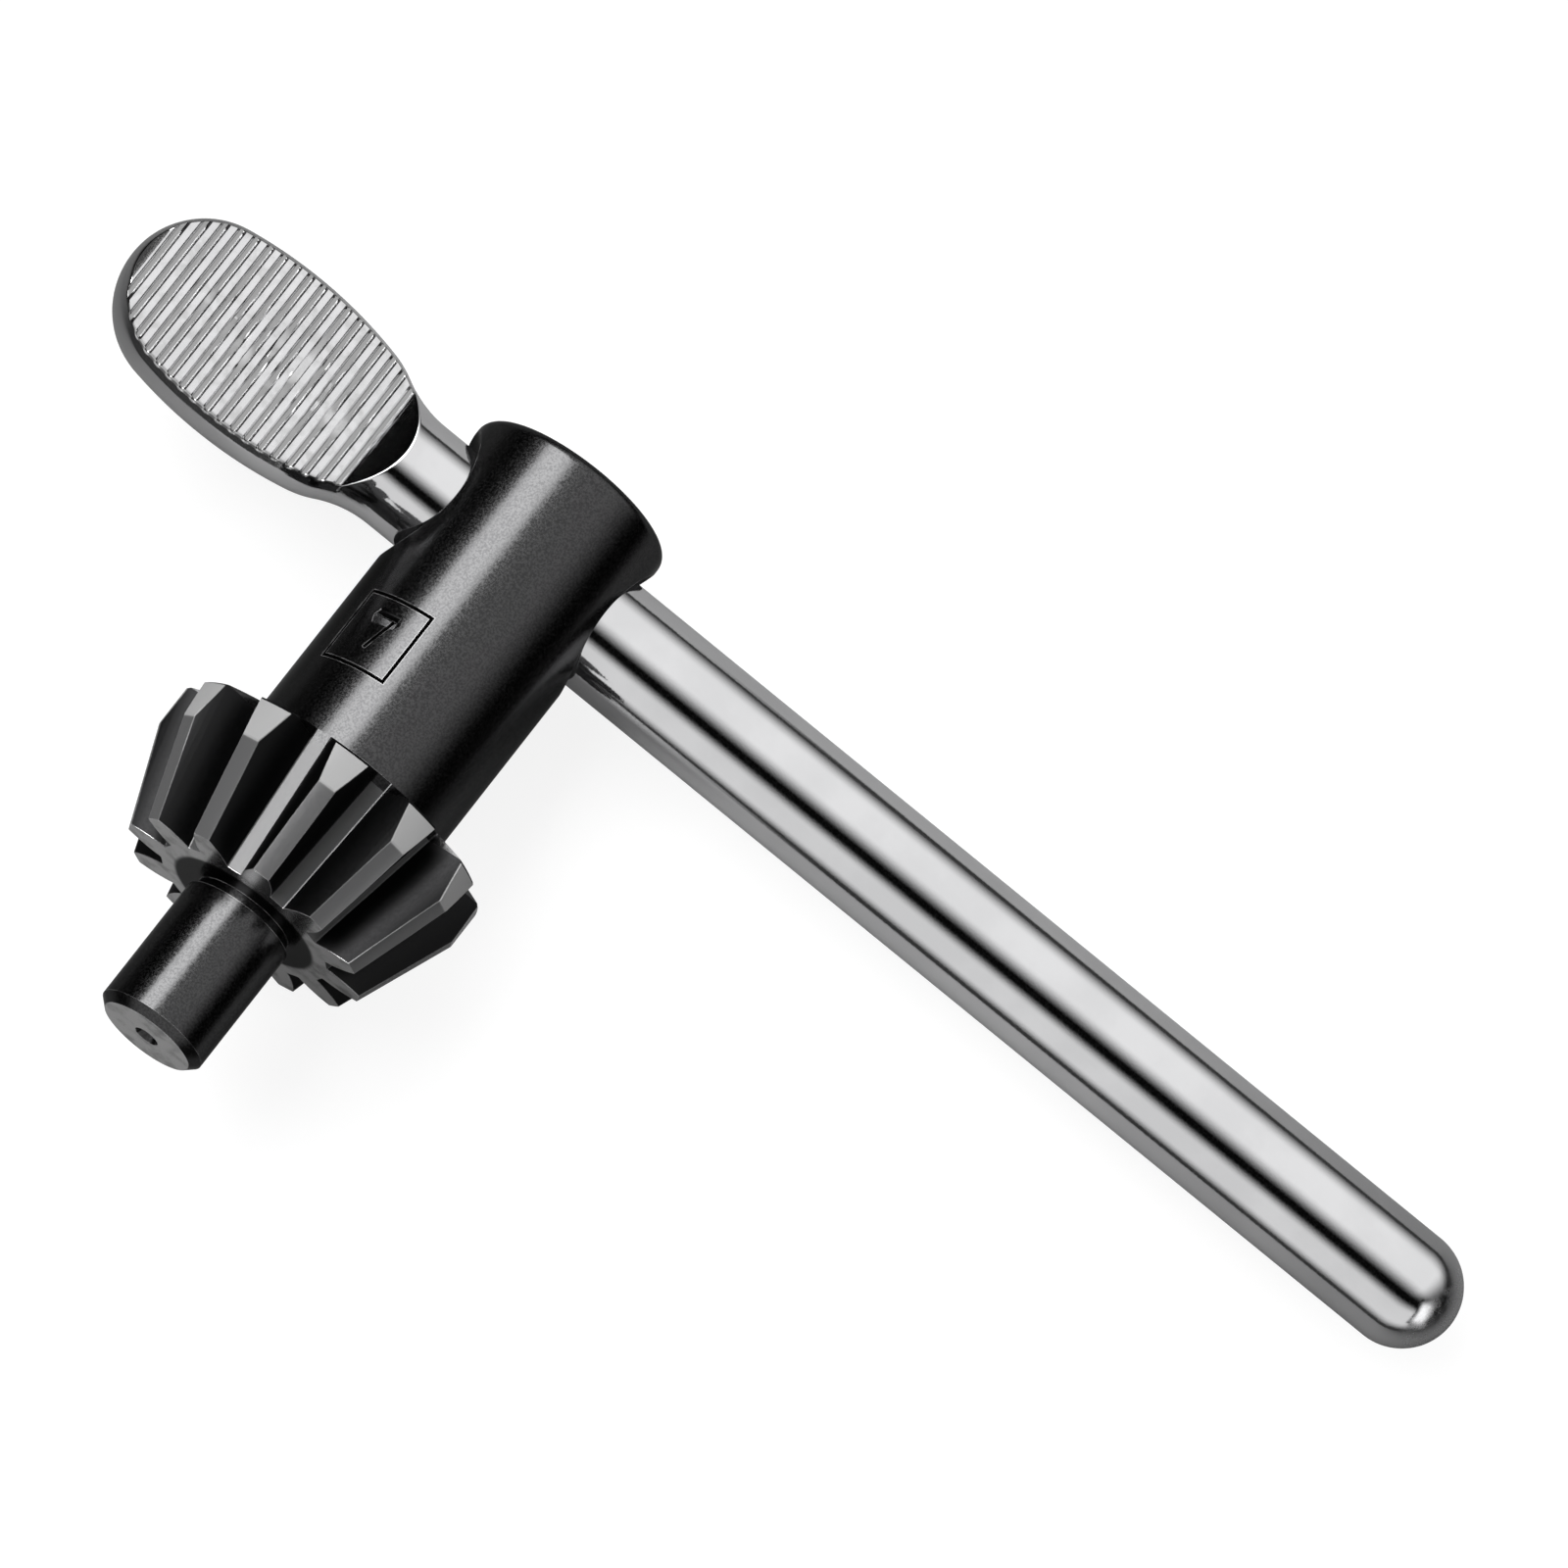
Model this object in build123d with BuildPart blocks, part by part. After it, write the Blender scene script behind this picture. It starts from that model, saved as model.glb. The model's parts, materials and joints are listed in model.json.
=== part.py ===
from build123d import *
from math import acos, asin, atan2, cos, degrees, hypot, pi, radians, sin, tan
import os

# Key for a geared drill chuck, in millimetres. The body is one piece of steel:
# a pilot pin, a bevel pinion and a barrel. A round steel bar is pressed through
# the barrel as the handle; its short arm ends in a ribbed thumb plate.
#
# The key is modelled upright. The axis of the body is Z, with the pilot down,
# the axis of the bar is X, with its long arm towards +X, and they cross at the
# origin. At the end the finished key is laid down as it rests on a table.

# Body, from the pilot up
body_length = 47.5
pilot_diameter = 8.0
pilot_length = 10.7
pilot_chamfer = 0.6
relief_width = 0.7
relief_depth = 0.4
centre_hole_diameter = 1.0
centre_hole_depth = 1.2
centre_hole_mouth = 1.8
centre_hole_angle = 60

# Pinion blank: a cone from its front face, a round band and a steep back
teeth = 12
pinion_diameter = 24.1
pinion_front_diameter = 18.8
pinion_length = 9.7
band_length = 2.85
back_length = 1.3

# Spaces between the teeth, straight cuts that climb from front to back
root_front_radius = 6.7
root_back_radius = 9.4
land_width = 1.3
space_floor = 1.0
space_corner = 0.3
flank_bulge = 0.3
tooth_turn = -7.3

# Barrel and its cross hole
barrel_diameter = 15.0
barrel_above_bar = 6.5
barrel_edge = 0.8
hole_fit = 0.0
hole_mouth = 1.3

# Handle bar
bar_diameter = 8.2
long_arm = 79.6
short_arm = 32.6

# Thumb plate, a bulb turned from arcs and pressed flat
plate_nose_radius = 6.1
plate_half_width = 6.5
plate_side_radius = 32.0
plate_shoulder_start = 15.0
plate_shoulder_radius = 7.3
neck_radius = 8.0
plate_thickness = 4.6
plate_flat_start = 12.4
plate_ramp_angle = 45
plate_edge = 0.3

# Ribs across the thumb plate, on both faces, left by grooves
rib_pitch = 1.09
groove_floor = 0.3
groove_depth = 0.25
groove_side_angle = 55
first_groove = 0.3
smooth_tip = 1.2

pilot_tip = barrel_above_bar - body_length
pinion_front = pilot_tip + pilot_length
pinion_rim = pinion_front + pinion_length
band_front = pinion_rim - band_length
pinion_back = pinion_rim + back_length

pilot_radius = pilot_diameter / 2
pinion_radius = pinion_diameter / 2
barrel_radius = barrel_diameter / 2
bar_radius = bar_diameter / 2
hole_radius = bar_radius + hole_fit


# Cutter for one tooth space. Its section stands square to the line of the
# root, and its flanks bulge inwards, so that each tooth gets full, rounded
# sides. It is as wide at the top as the pitch leaves beside one land.
root_rise = root_back_radius - root_front_radius
root_slope = atan2(root_rise, pinion_length)
root_at_band = root_front_radius + root_rise * (pinion_length - band_length) / pinion_length
half_space_angle = pi / teeth - land_width / 2 / pinion_radius
space_half_top = pinion_radius * sin(half_space_angle)
space_depth = (pinion_radius * cos(half_space_angle) - root_at_band) * cos(root_slope)
cutter_lead = 2.0
cutter_run = 2 * cutter_lead + (pinion_length + back_length) / cos(root_slope)

root_direction = Vector(sin(root_slope), 0, cos(root_slope))
root_start = Vector(root_front_radius, 0, pinion_front) - root_direction * cutter_lead
space_plane = Plane(origin=root_start, x_dir=(0, -1, 0), z_dir=root_direction)

with BuildPart() as tooth_space:
    with BuildSketch(space_plane):
        with BuildLine():
            floor_edge = Line((0, 0), (space_floor / 2, 0))
            flank = SagittaArc(floor_edge @ 1, (space_half_top, space_depth), -flank_bulge)
            Polyline(flank @ 1, (space_half_top, 2 * space_depth), (0, 2 * space_depth))
            mirror(about=Plane.YZ)
        make_face()
        fillet([corner for corner in vertices().group_by(Axis.Y)[0] if corner.X != 0], space_corner)
    extrude(amount=cutter_run)


# Key body, turned from bar: the pilot with a relief groove at its root, the
# pinion blank and the barrel. Then the teeth are cut, the cross hole is bored
# and opened at both mouths, and the tip keeps the centre hole of its turning.
with BuildPart() as key_body:
    with BuildSketch(Plane.XZ):
        with BuildLine():
            Polyline(
                (0, pilot_tip),
                (pilot_radius, pilot_tip),
                (pilot_radius, pinion_front - relief_width),
                (pilot_radius - relief_depth, pinion_front - relief_width),
                (pilot_radius - relief_depth, pinion_front),
                (pinion_front_diameter / 2, pinion_front),
                (pinion_radius, band_front),
                (pinion_radius, pinion_rim),
                (barrel_radius, pinion_back),
                (barrel_radius, barrel_above_bar),
                (0, barrel_above_bar),
                close=True,
            )
        make_face()
    revolve(axis=Axis.Z)
    chamfer(edges().filter_by(GeomType.CIRCLE).sort_by(Axis.Z)[0], pilot_chamfer)
    fillet(edges().filter_by(GeomType.CIRCLE).sort_by(Axis.Z)[-1], barrel_edge)

    with PolarLocations(radius=0, count=teeth, start_angle=tooth_turn + 180 / teeth):
        add(tooth_space.part, mode=Mode.SUBTRACT)

    with Locations(Plane.YZ):
        Cylinder(radius=hole_radius, height=pinion_diameter, mode=Mode.SUBTRACT)
    for side in (-1, 1):
        with Locations(Plane(origin=(side * barrel_radius, 0, 0), z_dir=(side, 0, 0))):
            CounterSinkHole(hole_radius, hole_radius + hole_mouth, depth=barrel_radius, counter_sink_angle=90)
    with Locations(Plane(origin=(0, 0, pilot_tip), z_dir=(0, 0, -1))):
        CounterSinkHole(
            centre_hole_diameter / 2, centre_hole_mouth / 2, centre_hole_depth, centre_hole_angle
        )

# Handle: a round bar with a hemispherical long end. Its short end is swollen
# in one smooth curve (nose, side, shoulder and neck arcs) and then pressed
# flat on two faces, which leaves a ramp in the round bar at each face.
side_centre_drop = plate_side_radius - plate_half_width
nose_centre = plate_nose_radius - short_arm
side_heading = acos(side_centre_drop / (plate_side_radius - plate_nose_radius))
widest = nose_centre + (plate_side_radius - plate_nose_radius) * sin(side_heading)
shoulder_heading = asin((-plate_shoulder_start - widest) / plate_side_radius)
shoulder_height = plate_side_radius * cos(shoulder_heading) - side_centre_drop
neck_drop = bar_radius + neck_radius + plate_shoulder_radius * cos(shoulder_heading) - shoulder_height
neck_heading = acos(neck_drop / (plate_shoulder_radius + neck_radius))

with BuildPart() as handle:
    with BuildSketch(Plane.XZ):
        with BuildLine():
            nose = JernArc(
                (-short_arm, 0), (0, 1), plate_nose_radius, degrees(side_heading) - 90
            )
            side_arc = JernArc(
                nose @ 1, nose % 1, plate_side_radius, -degrees(side_heading + shoulder_heading)
            )
            shoulder = JernArc(
                side_arc @ 1, side_arc % 1, plate_shoulder_radius, degrees(shoulder_heading - neck_heading)
            )
            neck = JernArc(shoulder @ 1, shoulder % 1, neck_radius, degrees(neck_heading))
            arm = Line(neck @ 1, (long_arm - bar_radius, bar_radius))
            tip = JernArc(arm @ 1, arm % 1, bar_radius, -90)
            Line(tip @ 1, nose @ 0)
        make_face()
    revolve(axis=Axis.X)

    half_thickness = plate_thickness / 2
    press_height = 2 * plate_half_width
    ramp_run = (press_height - half_thickness) / tan(radians(plate_ramp_angle))
    with BuildSketch(Plane.XY):
        with BuildLine():
            Polyline(
                (-2 * short_arm, half_thickness),
                (-plate_flat_start, half_thickness),
                (-plate_flat_start + ramp_run, press_height),
                (-2 * short_arm, press_height),
                close=True,
            )
        make_face()
        mirror(about=Plane.XZ)
    extrude(amount=press_height, both=True, mode=Mode.SUBTRACT)

    flats = faces().filter_by(GeomType.PLANE).filter_by(Axis.Y)
    fillet(flats.edges().filter_by(GeomType.LINE, reverse=True), plate_edge)

    rib_length = short_arm - smooth_tip - plate_flat_start - first_groove
    groove_cut = 2 * groove_depth
    groove_mouth = groove_floor + 2 * groove_cut / tan(radians(groove_side_angle))
    with BuildSketch(Plane.XY):
        for step in range(int(rib_length / rib_pitch) + 1):
            groove_x = -plate_flat_start - first_groove - step * rib_pitch
            with Locations((groove_x, half_thickness)):
                Trapezoid(groove_mouth, groove_cut, groove_side_angle, rotation=180)
        mirror(about=Plane.XZ)
    extrude(amount=press_height, both=True, mode=Mode.SUBTRACT)


# The key lies on its side: the rear edge of the pinion band, the top edge of
# the barrel and the hemisphere of the long arm touch the table. The pilot end
# is tipped up by the pitch, and the long arm drops by the roll.
contact_run = barrel_above_bar - barrel_edge - pinion_rim
contact_drop = pinion_radius - barrel_radius + barrel_edge
pitch = acos(barrel_edge / hypot(contact_run, contact_drop)) - atan2(contact_run, contact_drop)
bar_height = pinion_radius * cos(pitch) + pinion_rim * sin(pitch)
roll = asin((bar_height - bar_radius) / (long_arm - bar_radius) / cos(pitch))

laid_down = Rotation(-90 - degrees(pitch), 0, 0) * Rotation(0, 0, degrees(roll))
key_body.part = laid_down * key_body.part
handle.part = laid_down * handle.part
key_box = Compound([key_body.part, handle.part]).bounding_box()
to_origin = Location((-key_box.center().X, -key_box.center().Y, -key_box.min.Z))
key_body.part = to_origin * key_body.part
handle.part = to_origin * handle.part

os.makedirs("parts", exist_ok=True)
key_body.part.label = "key_body"
handle.part.label = "handle"
export_step(key_body.part, "parts/key_body.step")
export_step(handle.part, "parts/handle.step")
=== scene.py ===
import json
import math

import bmesh
import bpy
from mathutils import Matrix, Vector, noise


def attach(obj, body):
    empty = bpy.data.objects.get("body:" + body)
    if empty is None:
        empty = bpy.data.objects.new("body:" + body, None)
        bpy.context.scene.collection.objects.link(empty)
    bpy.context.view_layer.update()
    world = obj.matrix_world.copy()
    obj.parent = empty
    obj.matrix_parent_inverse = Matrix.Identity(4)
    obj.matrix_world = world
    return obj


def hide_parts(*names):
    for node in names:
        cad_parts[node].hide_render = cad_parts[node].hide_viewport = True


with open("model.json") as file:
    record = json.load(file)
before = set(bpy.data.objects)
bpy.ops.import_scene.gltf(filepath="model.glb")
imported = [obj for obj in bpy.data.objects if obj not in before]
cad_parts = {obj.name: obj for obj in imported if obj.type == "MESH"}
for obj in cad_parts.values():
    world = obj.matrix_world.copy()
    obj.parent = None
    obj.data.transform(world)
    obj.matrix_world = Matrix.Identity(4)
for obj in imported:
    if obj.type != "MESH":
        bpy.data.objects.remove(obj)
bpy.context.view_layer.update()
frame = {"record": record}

MM = 0.001

# Key body: one piece of steel, turned to a pilot pin, a bevel pinion blank and
# a barrel. The teeth are milled, the cross hole is bored, and the whole body
# is blackened in a hot oxide bath, which leaves a thin satin skin.
PILOT_TIP_TO_AXIS = 41.0 * MM
PILOT_CHAMFER = 0.6 * MM
BARREL_RADIUS = 7.5 * MM
BAND_RADIUS = 12.05 * MM
PINION_FRONT = -30.3 * MM
PINION_RIM = -20.6 * MM

pilot = next(m for m in frame["record"]["mounts"] if m["name"] == "pilot")
pilot_out = Vector(pilot["axis"]).normalized()
pilot_half = pilot["dims"]["length_mm"] / 2 * MM
axes_cross = Vector(pilot["pos_m"]) - pilot_out * (PILOT_TIP_TO_AXIS - PILOT_CHAMFER - pilot_half)

# The upright key has its body along Z and its bar along X, and its axes cross
# at the origin. This matrix lays it down as it rests: pitched, and rolled
# until the long arm of the bar, whose end is a hemisphere, meets the table.
BAR_RADIUS = 4.1 * MM
LONG_ARM = 79.6 * MM
pitch = math.asin(pilot_out.z)
roll = math.asin((axes_cross.z - BAR_RADIUS) / (LONG_ARM - BAR_RADIUS) / math.cos(pitch))
lying = (
    Matrix.Translation(axes_cross)
    @ Matrix.Rotation(-math.pi / 2 - pitch, 4, "X")
    @ Matrix.Rotation(roll, 4, "Z")
)


def arc(centre, radius, first, last, steps):
    """Points on an arc about a centre, between two angles in degrees."""
    turns = (math.radians(first + (last - first) * i / steps) for i in range(steps + 1))
    return [(centre[0] + radius * math.cos(t), centre[1] + radius * math.sin(t)) for t in turns]


def refined(outline, reach):
    """The same outline with its long runs divided, so that faces stay small."""
    points = [outline[0]]
    for start, end in zip(outline, outline[1:]):
        count = max(1, math.ceil(math.dist(start, end) / reach))
        points += [
            (start[0] + (end[0] - start[0]) * i / count, start[1] + (end[1] - start[1]) * i / count)
            for i in range(1, count + 1)
        ]
    return points


def turned(outline, axis, steps):
    """A skin turned about Z from (radius, height), or about X from (place, radius)."""
    skin = bmesh.new()
    if axis == "Z":
        verts = [skin.verts.new((radius, 0, height)) for radius, height in outline]
    else:
        verts = [skin.verts.new((place, 0, radius)) for place, radius in outline]
    edges = [skin.edges.new(pair) for pair in zip(verts, verts[1:])]
    about = (0, 0, 1) if axis == "Z" else (1, 0, 0)
    bmesh.ops.spin(
        skin, geom=verts + edges, cent=(0, 0, 0), axis=about, dvec=(0, 0, 0),
        angle=2 * math.pi, steps=steps, use_merge=True, use_duplicate=False,
    )
    bmesh.ops.remove_doubles(skin, verts=skin.verts, dist=0.0005 * MM)
    bmesh.ops.recalc_face_normals(skin, faces=skin.faces)
    return skin


def laid(skin):
    """The same skin, moved from the upright key to the key as it lies."""
    bmesh.ops.transform(skin, matrix=lying, verts=skin.verts)
    return skin


def mesh_object(name, skin):
    """A new object from a bmesh, which is freed."""
    mesh = bpy.data.meshes.new(name)
    skin.to_mesh(mesh)
    skin.free()
    thing = bpy.data.objects.new(name, mesh)
    bpy.context.scene.collection.objects.link(thing)
    return thing


def cut(piece, cutter):
    """Cuts one closed mesh out of a piece and drops the cutter."""
    modifier = piece.modifiers.new("cut", "BOOLEAN")
    modifier.operation = "DIFFERENCE"
    modifier.solver = "EXACT"
    modifier.object = cutter
    bpy.context.view_layer.update()
    shown = piece.evaluated_get(bpy.context.evaluated_depsgraph_get())
    result = bpy.data.meshes.new_from_object(shown)
    piece.modifiers.clear()
    old = piece.data
    result.name = old.name
    piece.data = result
    bpy.data.meshes.remove(old)
    bpy.data.objects.remove(cutter)


def shade(piece, angle):
    """Smooth faces, with every edge sharper than the angle kept crisp."""
    piece.data.shade_smooth()
    piece.data.set_sharp_from_angle(angle=math.radians(angle))


PILOT_RADIUS = 4.0 * MM
RELIEF_WIDTH = 0.7 * MM
RELIEF_DEPTH = 0.4 * MM
FRONT_RADIUS = 9.4 * MM
BAND_FRONT = -23.45 * MM
PINION_BACK = -19.3 * MM
BARREL_TOP = 6.5 * MM
BARREL_EDGE = 0.8 * MM
RIM_CHAMFER = 0.2 * MM
BODY_FACE = 0.7 * MM
BODY_STEPS = 160
EDGE_STEPS = 8
BODY_CRISP = 20
CENTRE_HOLE_RADIUS = 0.5 * MM
CENTRE_HOLE_MOUTH = 0.9 * MM
CENTRE_HOLE_DEPTH = 1.2 * MM
CENTRE_HOLE_ANGLE = 60

pilot_tip = -PILOT_TIP_TO_AXIS
mouth_depth = (CENTRE_HOLE_MOUTH - CENTRE_HOLE_RADIUS) / math.tan(math.radians(CENTRE_HOLE_ANGLE / 2))
body_outline = [
    (0, pilot_tip + CENTRE_HOLE_DEPTH),
    (CENTRE_HOLE_RADIUS, pilot_tip + CENTRE_HOLE_DEPTH),
    (CENTRE_HOLE_RADIUS, pilot_tip + mouth_depth),
    (CENTRE_HOLE_MOUTH, pilot_tip),
    (PILOT_RADIUS - PILOT_CHAMFER, pilot_tip),
    (PILOT_RADIUS, pilot_tip + PILOT_CHAMFER),
    (PILOT_RADIUS, PINION_FRONT - RELIEF_WIDTH),
    (PILOT_RADIUS - RELIEF_DEPTH, PINION_FRONT - RELIEF_WIDTH),
    (PILOT_RADIUS - RELIEF_DEPTH, PINION_FRONT),
    (FRONT_RADIUS, PINION_FRONT),
    (BAND_RADIUS, BAND_FRONT),
    (BAND_RADIUS, PINION_RIM - RIM_CHAMFER),
    (BAND_RADIUS - RIM_CHAMFER, PINION_RIM),
    (BARREL_RADIUS, PINION_BACK),
]
edge_centre = (BARREL_RADIUS - BARREL_EDGE, BARREL_TOP - BARREL_EDGE)
body_outline += arc(edge_centre, BARREL_EDGE, 0, 90, EDGE_STEPS) + [(0, BARREL_TOP)]
blank = turned(refined(body_outline, BODY_FACE), "Z", BODY_STEPS)
key_body = mesh_object("key_body_finished", laid(blank))

# The tooth spaces: one cutter with curved flanks and a rounded floor, run
# along a line that climbs from front to back, twelve times round the axis.
TEETH = 12
TOOTH_TURN = -7.3
ROOT_FRONT = 6.7 * MM
ROOT_BACK = 9.4 * MM
LAND_WIDTH = 1.3 * MM
SPACE_FLOOR = 1.15 * MM
SPACE_CORNER = 0.12 * MM
CORNER_POINTS = ((0.4, 1.0), (0.1, 0.3), (-0.5, 0.0))
FLANK_BULGE = 0.3 * MM
FLANK_STEPS = 10
CUTTER_LEAD = 2.0 * MM

root_slope = math.atan2(ROOT_BACK - ROOT_FRONT, PINION_RIM - PINION_FRONT)
root_at_band = ROOT_FRONT + math.tan(root_slope) * (BAND_FRONT - PINION_FRONT)
half_space = math.pi / TEETH - LAND_WIDTH / 2 / BAND_RADIUS
flank_top = Vector((
    BAND_RADIUS * math.sin(half_space),
    (BAND_RADIUS * math.cos(half_space) - root_at_band) * math.cos(root_slope),
))
flank_foot = Vector((SPACE_FLOOR / 2, 0))
chord = flank_top - flank_foot
flank_radius = chord.length ** 2 / 8 / FLANK_BULGE + FLANK_BULGE / 2
chord_normal = Vector((-chord.y, chord.x)).normalized()
flank_centre = (flank_foot + flank_top) / 2 - chord_normal * (flank_radius - FLANK_BULGE)
foot_angle = math.degrees(math.atan2(*(flank_foot - flank_centre).yx))
top_angle = math.degrees(math.atan2(*(flank_top - flank_centre).yx))
half_section = [(flank_top.x, 2 * flank_top.y)]
half_section += arc(flank_centre, flank_radius, top_angle, foot_angle, FLANK_STEPS)[:-1]
half_section += [
    (SPACE_FLOOR / 2 + side * SPACE_CORNER, rise * SPACE_CORNER) for side, rise in CORNER_POINTS
]

along_root = Vector((math.sin(root_slope), 0, math.cos(root_slope)))
out_of_root = Vector((math.cos(root_slope), 0, -math.sin(root_slope)))
root_start = Vector((ROOT_FRONT, 0, PINION_FRONT)) - along_root * CUTTER_LEAD
cutter_run = (PINION_BACK - PINION_FRONT) / math.cos(root_slope) + 2 * CUTTER_LEAD
spaces = bmesh.new()
section = half_section + [(-side, rise) for side, rise in reversed(half_section)]
spaces.faces.new([
    spaces.verts.new(root_start + Vector((0, side, 0)) + out_of_root * rise) for side, rise in section
])
run = bmesh.ops.extrude_face_region(spaces, geom=spaces.faces[:])
far_end = [v for v in run["geom"] if isinstance(v, bmesh.types.BMVert)]
bmesh.ops.translate(spaces, verts=far_end, vec=along_root * cutter_run)
bmesh.ops.recalc_face_normals(spaces, faces=spaces.faces)
bmesh.ops.rotate(
    spaces, verts=spaces.verts, matrix=Matrix.Rotation(math.radians(TOOTH_TURN + 180 / TEETH), 3, "Z"),
)
one_space = spaces.verts[:] + spaces.edges[:] + spaces.faces[:]
for number in range(1, TEETH):
    again = bmesh.ops.duplicate(spaces, geom=one_space)
    bmesh.ops.rotate(
        spaces, verts=[v for v in again["geom"] if isinstance(v, bmesh.types.BMVert)],
        matrix=Matrix.Rotation(2 * math.pi * number / TEETH, 3, "Z"),
    )
cut(key_body, mesh_object("tooth_spaces", laid(spaces)))

# The cross hole, opened by a cone at both mouths.
HOLE_MOUTH = 1.3 * MM
HOLE_STEPS = 128
hole_outline = [
    (-2 * BARREL_RADIUS, 0),
    (-2 * BARREL_RADIUS, BAR_RADIUS + HOLE_MOUTH + BARREL_RADIUS),
    (-BARREL_RADIUS, BAR_RADIUS + HOLE_MOUTH),
    (-BARREL_RADIUS + HOLE_MOUTH, BAR_RADIUS),
]
hole_outline += [(-place, radius) for place, radius in reversed(hole_outline)]
cut(key_body, mesh_object("cross_hole", laid(turned(hole_outline, "X", HOLE_STEPS))))

# The size mark on the barrel: a square frame and a plain figure, both stamped
# as fine grooves, on the side of the barrel that faces the viewer. Each stroke
# of the figure has a place across, a rise and a length in mm, and a slant.
MARK_TURN = math.radians(-131)
MARK_HALF_ANGLE = math.radians(20.6)
MARK_LOW = -14.2 * MM
MARK_HIGH = -8.7 * MM
MARK_LINE = 0.25 * MM
MARK_DEPTH = 0.18 * MM
MARK_STEPS = 24
STROKE_LINE = 0.26 * MM
FIGURE_STROKES = ((0.0, 1.15, 1.9, 90), (0.33, -0.05, 2.6, -17))

mark_angles = (MARK_TURN - MARK_HALF_ANGLE, MARK_TURN + MARK_HALF_ANGLE)
mark_middle = (MARK_HIGH + MARK_LOW) / 2
mark_height = MARK_HIGH - MARK_LOW + MARK_LINE
for level in (MARK_LOW, MARK_HIGH):
    ring = bmesh.new()
    bmesh.ops.create_grid(ring, x_segments=1, y_segments=1, size=0.5)
    bmesh.ops.rotate(ring, verts=ring.verts, matrix=Matrix.Rotation(math.pi / 2, 3, "X"))
    bmesh.ops.scale(ring, verts=ring.verts, vec=(2 * MARK_DEPTH, 1, MARK_LINE))
    bmesh.ops.translate(ring, verts=ring.verts, vec=(BARREL_RADIUS, 0, level))
    bmesh.ops.rotate(ring, verts=ring.verts, matrix=Matrix.Rotation(mark_angles[0], 3, "Z"))
    bmesh.ops.spin(
        ring, geom=ring.faces[:], cent=(0, 0, 0), axis=(0, 0, 1), dvec=(0, 0, 0),
        angle=mark_angles[1] - mark_angles[0], steps=MARK_STEPS, use_duplicate=False,
    )
    bmesh.ops.recalc_face_normals(ring, faces=ring.faces)
    cut(key_body, mesh_object("mark_ring", laid(ring)))


def stamp_stroke(width, length, across, height, slant, turn):
    """Cuts one straight groove into the barrel, slanted there and turned about the axis."""
    stroke = bmesh.new()
    bmesh.ops.create_cube(stroke, size=1)
    bmesh.ops.scale(stroke, verts=stroke.verts, vec=(2 * MARK_DEPTH, width, length))
    bmesh.ops.rotate(stroke, verts=stroke.verts, matrix=Matrix.Rotation(math.radians(slant), 3, "X"))
    bmesh.ops.translate(stroke, verts=stroke.verts, vec=(BARREL_RADIUS, across, height))
    bmesh.ops.rotate(stroke, verts=stroke.verts, matrix=Matrix.Rotation(turn, 3, "Z"))
    cut(key_body, mesh_object("mark_stroke", laid(stroke)))


for turn in mark_angles:
    stamp_stroke(MARK_LINE, mark_height, 0, mark_middle, 0, turn)
for across, rise, length, slant in FIGURE_STROKES:
    stamp_stroke(STROKE_LINE, length * MM, across * MM, mark_middle + rise * MM, slant, MARK_TURN)
shade(key_body, BODY_CRISP)


class Nodes:
    """A short way to place and join shader nodes in one tree."""

    def __init__(self, tree):
        self.tree = tree

    def add(self, kind, **values):
        node = self.tree.nodes.new(kind)
        for name, value in values.items():
            setattr(node, name, value)
        return node

    def join(self, source, target):
        self.tree.links.new(source, target)

    def math(self, operation, first, second=None, clamp=False):
        """The result of one operation on one or two values, each a number or a socket."""
        node = self.add("ShaderNodeMath", operation=operation, use_clamp=clamp)
        for socket, value in zip(node.inputs, (first, second)):
            if isinstance(value, bpy.types.NodeSocket):
                self.join(value, socket)
            elif value is not None:
                socket.default_value = value
        return node.outputs[0]

    def product(self, *factors):
        """All factors multiplied, as a chain of nodes."""
        result = factors[0]
        for factor in factors[1:]:
            result = self.math("MULTIPLY", result, factor)
        return result

    def spread(self, value, low, high, low_out=0.0, high_out=1.0):
        """A smooth step from one output to the other between two values."""
        node = self.add("ShaderNodeMapRange", interpolation_type="SMOOTHSTEP")
        self.join(value, node.inputs["Value"])
        for name, number in (
            ("From Min", low), ("From Max", high), ("To Min", low_out), ("To Max", high_out),
        ):
            node.inputs[name].default_value = number
        return node.outputs["Result"]

    def mix(self, factor, first, second):
        """A mix of two colours, each a colour or a socket."""
        node = self.add("ShaderNodeMix", data_type="RGBA")
        self.join(factor, node.inputs["Factor"])
        colours = [s for s in node.inputs if s.type == "RGBA"]
        for socket, value in zip(colours, (first, second)):
            if isinstance(value, bpy.types.NodeSocket):
                self.join(value, socket)
            else:
                socket.default_value = value
        return next(s for s in node.outputs if s.type == "RGBA")


def group_tree(name, inputs, outputs):
    """An empty shader node group with its named sockets."""
    tree = bpy.data.node_groups.new(name, "ShaderNodeTree")
    for label, kind, value in inputs:
        socket = tree.interface.new_socket(label, in_out="INPUT", socket_type=kind)
        if value is not None:
            socket.default_value = value
    for label, kind in outputs:
        tree.interface.new_socket(label, in_out="OUTPUT", socket_type=kind)
    nodes = Nodes(tree)
    return tree, nodes, nodes.add("NodeGroupInput"), nodes.add("NodeGroupOutput")


# Edge wear and painted edge highlight: a mask that is 1 on convex edges, where the
# skin is rubbed thin and a painted highlight lightens them, and breaks up along them.
BEND_RANGE = (0.015, 0.10)
PATCH_RANGE = (0.30, 0.60)
LEAST_WEAR = 0.35

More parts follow.
